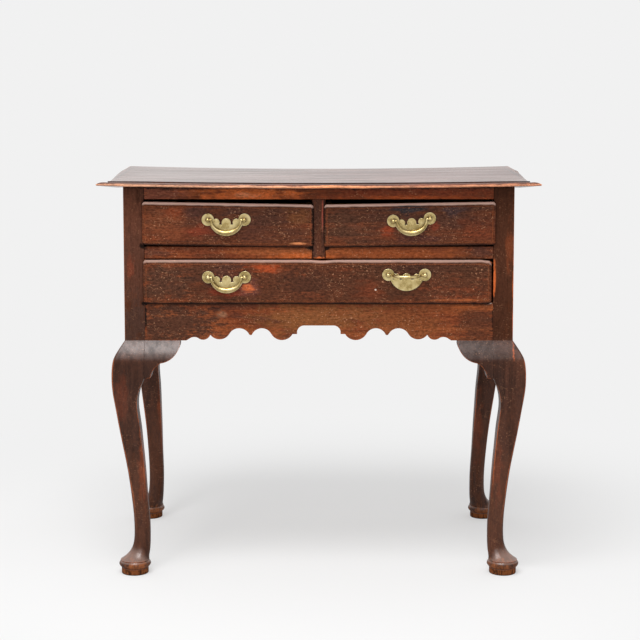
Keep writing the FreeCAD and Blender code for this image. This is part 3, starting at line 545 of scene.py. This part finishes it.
nails_low, nails_high = [Vector(corner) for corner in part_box("back_nails")]
nails_span = nails_high.x - nails_low.x - 2 * NAIL_HEAD
nails_rise = nails_high.z - nails_low.z - 2 * NAIL_HEAD
nails_middle = (nails_low + nails_high) / 2
nail_shares = [row / (NAIL_ROWS - 1) - 0.5 for row in range(NAIL_ROWS)]
nail_heights = [nails_middle.z + nails_rise * share for share in nail_shares]
back_marks = [
    ((nails_middle.x + side * nails_span / 2, height - STAIN_DROP), STAIN_REACH, GRIME_AND_SHADE, 0.6)
    for side in (-1, 1)
    for height in nail_heights
]

# Metals


def brass(name):
    """Gilt cast brass, rubbed bright on its edges, with painted shade in the hollows between its
    parts.
    """
    finish = Finish(name)
    tarnish = finish.cloud((0.012, 0.012, 0.012), shift=3.1, detail=4.0, rough=0.6)
    pits = finish.cloud((0.0012, 0.0012, 0.0012), shift=6.2, detail=2.0)
    tones = (paint(168, 146, 92), paint(202, 180, 124), paint(222, 203, 150))
    colour = finish.ramp(finish.step(tarnish, 0.3, 0.7), tones)
    bright = finish.step(finish.arris(0.0012), 0.04, 0.25)
    colour = finish.blend(bright * 0.7, colour, paint(248, 236, 196))
    # Painted shade in the brass's hollows, from ambient occlusion.
    hollow_shade = finish.step(finish.openness(0.010), 0.92, 0.40)
    colour = finish.blend(hollow_shade * 0.85, colour, paint(74, 54, 28))
    normal = finish.bumped(pits, strength=0.2, depth=0.0003, soft=0.0007)
    roughness = 0.3 + (tarnish - 0.5) * 0.4
    finish.set(Base_Color=colour, Normal=normal, Roughness=roughness, Metallic=1.0)
    return finish.material


def iron(name):
    """Forged iron, black with rust in its hollows."""
    finish = Finish(name)
    rust = finish.cloud((0.003, 0.003, 0.003), shift=2.9)
    rusty = finish.step(rust, 0.45, 0.65)
    colour = finish.blend(rusty, paint(40, 36, 34), paint(84, 52, 36))
    normal = finish.bumped(rust, strength=0.4, depth=0.0004)
    finish.set(Base_Color=colour, Normal=normal, Roughness=0.5 + rust * 0.3, Metallic=0.6)
    return finish.material


# The finishes, and which piece gets which

TOP_RIM = (0.375, -0.226, 0.235)

case_tones = (DARK, UMBER, BROWN)
board_tones = (UMBER, BROWN, RUSSET)
rail_tones = (BROWN, RUSSET, paint(140, 75, 40))
apron_tones = (UMBER, RUSSET, paint(134, 71, 38))
leg_tones = (paint(48, 26, 17), paint(60, 33, 21), paint(76, 41, 25))
dry_tones = (paint(82, 56, 41), paint(106, 74, 53), paint(126, 90, 64))
bare_tones = (paint(128, 94, 62), paint(156, 118, 82), paint(176, 138, 98))

post_joints = ((ALONG_X, 0.0, POST_INNER_X),)
leg_joints = post_joints + ((ALONG_Y, CASE_Y, POST_INNER_Y), (ALONG_Z, 0.0, KNEE_TOP))
dull_end = ((0.320, 0.000), (0.600, 0.600), 0.13)


def drawer_wood(name, lip_dust_and_sheen):
    return wood(name, ALONG_X, board_tones, drawer_marks, wear=0.5, sandy=2.6, lip_dust_and_sheen=lip_dust_and_sheen)


def lining_wood(name, along):
    return wood(name, along, bare_tones, wear=0.2, worn=bare_tones[2], fleck=0.1, wax=0.0)


finishes = {
    "top": wood(
        "top_wood", ALONG_X, board_tones, top_marks, plane=UPPER, wear=0.9, worn=NOSE, rim=TOP_RIM,
        fleck=0.2, fibrous=0.5, relief=0.06, wax=0.98, gloss=0.14, film=1.5, patchy=0.22,
        dulled=(dull_end,),
    ),
    "rail": wood("rail_wood", ALONG_X, rail_tones, rail_marks, wear=0.5, joints=post_joints),
    "apron": wood("apron_wood", ALONG_X, apron_tones, apron_marks, wear=0.4, joints=post_joints),
    "upper_drawer": drawer_wood("upper_drawer_wood", lip_dust_and_sheen=0.95),
    "long_drawer": drawer_wood("long_drawer_wood", lip_dust_and_sheen=0.42),
    "divider": wood("divider_wood", ALONG_Z, case_tones, divider_marks, wear=0.6),
    "leg": wood(
        "leg_wood", ALONG_Z, leg_tones, leg_marks, wear=0.6, rub=0.5, joints=leg_joints,
        fleck=0.3, sandy=1.3, fibrous=0.8, relief=0.5, wax=1.0, gloss=0.27, film=1.5, patchy=0.3,
        leg=True,
    ),
    "side": wood("side_wood", ALONG_Y, case_tones, wear=0.5, fleck=0.3, wax=0.4),
    "back": wood("back_wood", ALONG_X, dry_tones, back_marks, wear=0.3, fleck=0.2, wax=0.0),
    "lining_x": lining_wood("lining_wood_across", ALONG_X),
    "lining_y": lining_wood("lining_wood_deep", ALONG_Y),
    "brass": brass("gilt_brass"),
    "iron": iron("forged_iron"),
}

finish_words = (
    ("top_front_board", "top"),
    ("top_rear_board", "top"),
    ("handle", "brass"),
    ("nails", "iron"),
    ("_leg", "leg"),
    ("bracket", "leg"),
    ("_rail", "rail"),
    ("apron", "apron"),
    ("divider", "divider"),
    ("side_board", "side"),
    ("back_board", "back"),
    ("long_drawer_front", "long_drawer"),
    ("drawer_front", "upper_drawer"),
    ("drawer_back", "lining_x"),
    ("drawer_bottom", "lining_x"),
    ("", "lining_y"),
)


def finish_key(name):
    return next(key for word, key in finish_words if word in name)


def dress(piece, name):
    piece.data.materials.clear()
    piece.data.materials.append(finishes[finish_key(name)])


def stand_for(piece, name):
    """Makes a new piece take the place of a packed one, on its body."""
    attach(piece, frame["nodes"][name]["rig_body"])
    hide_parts(name)


def settle(piece):
    """Makes what a piece's modifiers give its plain mesh."""
    ready = piece.evaluated_get(bpy.context.evaluated_depsgraph_get())
    piece.data = bpy.data.meshes.new_from_object(ready)
    piece.modifiers.clear()


for name, node in frame["nodes"].items():
    dress(node, name)

# Worn copies of the pieces that age has bent, rounded or chipped

MERGED = 0.000002
CUT = 0.00001
FLAT_ANGLE = math.radians(1)
SHARP_ANGLE = math.radians(30)
ARRIS_ANGLE = math.radians(40)


def cut_strips(mesh, axis, width):
    """Cuts a mesh into strips of about this width along an axis, so that it can bend."""
    low = min(vertex.co[axis] for vertex in mesh.verts)
    high = max(vertex.co[axis] for vertex in mesh.verts)
    count = round((high - low) / width)
    facing = Vector((0, 0, 0))
    facing[axis] = 1
    for number in range(1, count):
        geometry = mesh.verts[:] + mesh.edges[:] + mesh.faces[:]
        place = facing * (low + (high - low) * number / count)
        bmesh.ops.bisect_plane(mesh, geom=geometry, plane_co=place, plane_no=facing, dist=CUT)


def bent_mesh(name, bend, strip, deep_strip):
    """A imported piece's mesh, merged, cut into strips across X and Y and bent."""
    mesh = bmesh.new()
    mesh.from_mesh(frame["nodes"][name].data)
    bmesh.ops.remove_doubles(mesh, verts=mesh.verts, dist=MERGED)
    bmesh.ops.dissolve_limit(mesh, angle_limit=FLAT_ANGLE, verts=mesh.verts, edges=mesh.edges)
    if bend:
        cut_strips(mesh, ALONG_X, strip)
        if deep_strip:
            cut_strips(mesh, ALONG_Y, deep_strip)
        for vertex in mesh.verts:
            vertex.co += Vector(bend(*vertex.co))
    bmesh.ops.recalc_face_normals(mesh, faces=mesh.faces)
    mesh.normal_update()
    for face in mesh.faces:
        face.smooth = True
    for edge in mesh.edges:
        edge.smooth = edge.calc_face_angle(0.0) < SHARP_ANGLE
    data = bpy.data.meshes.new(name + "_worn")
    mesh.to_mesh(data)
    mesh.free()
    return data


def worn_copy(name, bend=None, strip=0.02, deep_strip=None, soft=0.0, rings=2):
    """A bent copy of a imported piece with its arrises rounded, which stands for the piece."""
    piece = bpy.data.objects.new(name + "_worn", bent_mesh(name, bend, strip, deep_strip))
    scene.collection.objects.link(piece)
    if soft:
        rounding = piece.modifiers.new("rounding", "BEVEL")
        rounding.width = soft
        rounding.segments = rings
        rounding.limit_method = "ANGLE"
        rounding.angle_limit = ARRIS_ANGLE
    flats = piece.modifiers.new("flats", "WEIGHTED_NORMAL")
    flats.weight = 90
    flats.keep_sharp = True
    settle(piece)
    dress(piece, name)
    stand_for(piece, name)


def ease(value, low, high):
    """0 before low, 1 after high, smooth between; turned round where low is the larger."""
    share = min(max((value - low) / (high - low), 0.0), 1.0)
    return share * share * (3 - 2 * share)


def waver(x, row, pitch, reach):
    """A small smooth unevenness along X, at most the reach; each row has its own."""
    return noise.noise(Vector((x, row, 0)) / pitch) * reach


TOP_HALF, TOP_DEPTH = 0.390, 0.480
SAG, SAG_MORE_BEHIND = 0.0042, 0.0016
NOSE_REAR, NOSE_FRONT = -0.228, -0.238
CUP_REAR, CUP_DEEPEST, CUP_END, CUP_FRONT = 0.15, -0.13, -0.195, -0.236
CUP_START, CUP_DEPTH = 0.30, 0.0036
END_START, END_WORN = 0.345, 0.0075
CORNER, CORNER_RUBBED = 0.014, 0.006
PROUD_START, END_PROUD = 0.36, 0.0016


def top_bend(x, y, z):
    """The top sags between its ends, which are cupped and worn, and its nose is uneven."""
    back = (y + TOP_DEPTH / 2) / TOP_DEPTH
    sag = (SAG + SAG_MORE_BEHIND * back) * (1 - (x / TOP_HALF) ** 2)
    nose = ease(y, NOSE_REAR, NOSE_FRONT)
    hollow = ease(y, CUP_REAR, CUP_DEEPEST) * ease(y, CUP_FRONT, CUP_END)
    cup = CUP_DEPTH * hollow * ease(abs(x), CUP_START, TOP_HALF)
    inward = -math.copysign(END_WORN * hollow * ease(abs(x), END_START, TOP_HALF), x)
    along_nose = waver(x, 0.3, 0.035, 0.0009) * nose
    over_nose = waver(x, 0.9, 0.05, 0.0007) * nose
    return (inward, along_nose, over_nose - sag - cup)


def rear_top_bend(x, y, z):
    """The rear board sags too; its left back corner is rubbed and its right end is proud."""
    across, deep, up = top_bend(x, y, z)
    behind = TOP_DEPTH / 2
    corner = ease(x, CORNER - TOP_HALF, -TOP_HALF) * ease(y, behind - CORNER, behind)
    proud = END_PROUD * ease(x, PROUD_START, TOP_HALF) * ease(y, behind, behind / 2)
    return (across + CORNER_RUBBED * corner + proud, deep - CORNER_RUBBED * corner, up)


LIP_BEAD = 0.0056
LIP_WORN = 0.0022


def worn_lip(y, z, high):
    """How far the worn top lip reaches down into the drawer's face."""
    if y < LIP_REAR and z > high - LIP_BEAD * 1.2:
        return -LIP_WORN * min((high - z) / LIP_BEAD, 1.0)
    return 0.0


UPPER_OUTER, UPPER_INNER = 0.314, 0.009
UPPER_LOW, UPPER_HIGH = 0.5958, 0.6784
UPPER_EDGE = 0.012
UPPER_DROP = 0.0050
UPPER_LIFT = 0.0048


def upper_front_bend(side):
    """An upper drawer front planed to the sagging case: its lip slopes down to the middle."""

    def bend(x, y, z):
        inward = (x - side * UPPER_OUTER) / (side * UPPER_INNER - side * UPPER_OUTER)
        up = ease(z, UPPER_LOW + UPPER_EDGE, UPPER_HIGH - UPPER_EDGE)
        drop = -UPPER_DROP * inward * up
        lift = UPPER_LIFT * (1 - inward) * (1 - up) if y < LIP_REAR else 0.0
        return (0, 0, drop + lift + worn_lip(y, z, UPPER_HIGH))

    return bend


LONG_HIGH = 0.5747
BENT_LOW, BENT_HIGH = 0.545, 0.5745
CHIP_START, CHIP_END, CHIP = 0.290, 0.312, 0.0052
RUBBED_X, RUBBED_REACH, RUBBED = 0.004, 0.011, 0.0016


def long_front_bend(x, y, z):
    """The long front has lost its top right corner, and is rubbed below the divider's foot."""
    up = ease(z, BENT_LOW, BENT_HIGH)
    corner = -CHIP * ease(x, CHIP_START, CHIP_END) ** 2
    rubbed = -RUBBED * math.exp(-(((x - RUBBED_X) / RUBBED_REACH) ** 2))
    return (0, 0, (corner + rubbed) * up + worn_lip(y, z, LONG_HIGH))


worn_copy("top_front_board", top_bend, strip=0.008, deep_strip=0.012)
worn_copy("top_rear_board", rear_top_bend, strip=0.010, deep_strip=0.012, soft=0.0012)
worn_copy("upper_left_drawer_front", upper_front_bend(-1))
worn_copy("upper_right_drawer_front", upper_front_bend(1))
worn_copy("long_drawer_front", long_front_bend)
worn_copy("top_rail", soft=0.0012)
worn_copy("middle_rail", soft=0.0014)
worn_copy("drawer_divider", soft=0.0022, rings=3)

# The nails themselves

NAIL_SEED = 7
NAIL_SUNK = 0.0003
NAIL_FACETS = 7


class Forge(Nodes):
    """A Geometry Nodes tree with named inputs, which makes the geometry of one piece."""

    SOCKETS = {int: "Int", float: "Float", Vector: "Vector", bpy.types.Material: "Material"}

    def __init__(self, name, **sizes):
        super().__init__(bpy.data.node_groups.new(name, "GeometryNodeTree"))
        self.sizes = sizes
        for label, value in sizes.items():
            kind = "NodeSocket" + self.SOCKETS[type(value)]
            self.tree.interface.new_socket(label, in_out="INPUT", socket_type=kind)
        given = self.tree.nodes.new("NodeGroupInput")
        self.given = {label: Tone(self, given.outputs[label]) for label in sizes}

    def piece(self, name, made, material):
        """The tree's result as a plain mesh piece."""
        made = self.node("GeometryNodeRealizeInstances", None, {0: made})
        sockets = {"Geometry": made, "Material": material}
        made = self.node("GeometryNodeSetMaterial", None, sockets)
        kind = "NodeSocketGeometry"
        self.tree.interface.new_socket("Geometry", in_out="OUTPUT", socket_type=kind)
        self.plug(self.tree.nodes.new("NodeGroupOutput").inputs["Geometry"], made)
        piece = bpy.data.objects.new(name, bpy.data.meshes.new(name))
        scene.collection.objects.link(piece)
        forged = piece.modifiers.new("forged", "NODES")
        forged.node_group = self.tree
        for item in self.tree.interface.items_tree:
            if item.in_out == "INPUT":
                forged[item.identifier] = self.sizes[item.name]
        settle(piece)
        return piece


def rose_head_nails(name):
    """Forged nails with low facetted heads, in an upright row at each edge of the back."""
    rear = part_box("back_board")[1][1]
    forge = Forge(
        name,
        span=nails_span,
        rise=nails_rise,
        rows=NAIL_ROWS,
        place=Vector((nails_middle.x, rear - NAIL_SUNK, nails_middle.z)),
        head=NAIL_HEAD,
        facets=NAIL_FACETS,
        seed=NAIL_SEED,
        metal=finishes["iron"],
    )
    given = forge.given
    sockets = {
        "Size X": given["span"],
        "Size Y": given["rise"],
        "Vertices X": 2,
        "Vertices Y": given["rows"],
    }
    grid = forge.node("GeometryNodeMeshGrid", None, sockets)
    sockets = {"Geometry": grid, "Translation": given["place"], "Rotation": (math.pi / 2, 0, 0)}
    seats = forge.node("GeometryNodeTransform", None, sockets)
    sockets = {
        "Vertices": given["facets"],
        "Side Segments": 2,
        "Radius Top": given["head"] * 0.22,
        "Radius Bottom": given["head"] * 0.92,
        "Depth": given["head"] * 0.42,
    }
    head = forge.node("GeometryNodeMeshCone", None, sockets)
    blows = forge.node("TexNoise", None, {"Scale": 420.0, "Detail": 0.0}, output="Color")
    sockets = {0: blows, 1: (0.5, 0.5, 0.5)}
    blows = forge.node("VectorMath", {"operation": "SUBTRACT"}, sockets)
    sockets = {0: blows, "Scale": given["head"] * 0.35}
    blows = forge.node("VectorMath", {"operation": "SCALE"}, sockets)
    head = forge.node("GeometryNodeSetPosition", None, {"Geometry": head, "Offset": blows})
    sockets = {2: 0.0, 3: math.tau, "Seed": given["seed"]}
    spin = forge.node("FunctionNodeRandomValue", None, sockets, output=1)
    turned = forge.node("CombineXYZ", None, {"X": -math.pi / 2, "Y": spin})
    turned = forge.node("FunctionNodeEulerToRotation", None, {0: turned})
    sockets = {2: 0.85, 3: 1.05, "Seed": given["seed"] + 1}
    sizes = forge.node("FunctionNodeRandomValue", None, sockets, output=1)
    sockets = {"Points": seats, "Instance": head, "Rotation": turned, "Scale": sizes}
    nails = forge.node("GeometryNodeInstanceOnPoints", None, sockets)
    return forge.piece(name, nails, given["metal"])


stand_for(rose_head_nails("rose_head_nails"), "back_nails")

# Stage: a pale floor that turns into the plain background, and a room that is bright at the back

BACKGROUND = (0.88, 0.88, 0.88, 1.0)
FLOOR_PAPER = (0.72, 0.72, 0.72, 1.0)
FLOOR_FRONT = -6.0
FLOOR_HALF = 30.0
FLOOR_SHOW = 0.5
SHADOW_FAR, SHADOW_NEAR = 1.25, 0.5
FRONT_LIGHT = 0.5
BACK_LIGHT = 0.95
BRIGHT_SIDE = (0, 0.6, 0.8)

floor_mesh = bpy.data.meshes.new("floor")
corners = [
    (-FLOOR_HALF, FLOOR_FRONT, 0),
    (FLOOR_HALF, FLOOR_FRONT, 0),
    (FLOOR_HALF, FLOOR_HALF, 0),
    (-FLOOR_HALF, FLOOR_HALF, 0),
]
floor_mesh.from_pydata(corners, [], [(0, 1, 2, 3)])
floor = bpy.data.objects.new("floor", floor_mesh)
scene.collection.objects.link(floor)

paper = Finish("floor_paper")
paper.set(Base_Color=FLOOR_PAPER, Roughness=0.9, Specular_IOR_Level=0.0)
far = (paper.x * paper.x + paper.y * paper.y) ** 0.5
plain = paper.node("Emission", None, {"Color": BACKGROUND, "Strength": 1.0})
shaded = Tone(paper, paper.shader.outputs[0])
near = paper.step(far, SHADOW_FAR, SHADOW_NEAR)
share = paper.plainly_seen() * (1.0 - FLOOR_SHOW * near)
mixed = paper.node("MixShader", None, {0: share, 1: shaded, 2: plain})
paper.plug(paper.tree.nodes["Material Output"].inputs["Surface"], mixed)
floor_mesh.materials.append(paper.material)

scene.world = bpy.data.worlds.new("room")
scene.world.use_nodes = True
sky = Nodes(scene.world.node_tree)
seen = sky.plainly_seen()
vectors = {0: sky.node("TexCoord", output="Generated"), 1: BRIGHT_SIDE}
behind = sky.node("VectorMath", {"operation": "DOT_PRODUCT"}, vectors, output="Value")
room = FRONT_LIGHT + sky.step(behind, -0.1, 0.55) * (BACK_LIGHT - FRONT_LIGHT)
background = sky.tree.nodes["Background"]
sky.plug(background.inputs["Color"], BACKGROUND)
sky.plug(background.inputs["Strength"], room + seen * (1.0 - room))

# Light: a softbox overhead, and a wider and weaker one in front


def softbox(name, place, target, width, depth, watts):
    data = bpy.data.lights.new(name, "AREA")
    data.shape = "RECTANGLE"
    data.size = width
    data.size_y = depth
    data.energy = watts
    lamp = bpy.data.objects.new(name, data)
    lamp.location = place
    aim = Vector(target) - Vector(place)
    lamp.rotation_euler = aim.to_track_quat("-Z", "Y").to_euler()
    scene.collection.objects.link(lamp)


softbox("overhead", (-0.4, -1.3, 2.9), (0.0, -0.2, 0.4), width=1.6, depth=1.3, watts=68)
softbox("fill", (-0.5, -3.4, 2.9), (0.0, -0.2, 0.6), width=3.0, depth=1.4, watts=38)

# Camera

SENSOR = 36.0
FOCAL_PIXELS = 1699.2
FRAME_PIXELS = 640.0
CAMERA_PLACE = (0.0021, -3.2058, 0.907)
CAMERA_DOWN = 6.19
CAMERA_SHIFT = -0.1

camera_data = bpy.data.cameras.new("camera")
camera_data.sensor_width = SENSOR
camera_data.lens = SENSOR * FOCAL_PIXELS / FRAME_PIXELS
camera_data.shift_y = CAMERA_SHIFT
camera = bpy.data.objects.new("camera", camera_data)
camera.location = CAMERA_PLACE
camera.rotation_euler = (math.radians(90 - CAMERA_DOWN), 0, 0)
scene.collection.objects.link(camera)
scene.camera = camera
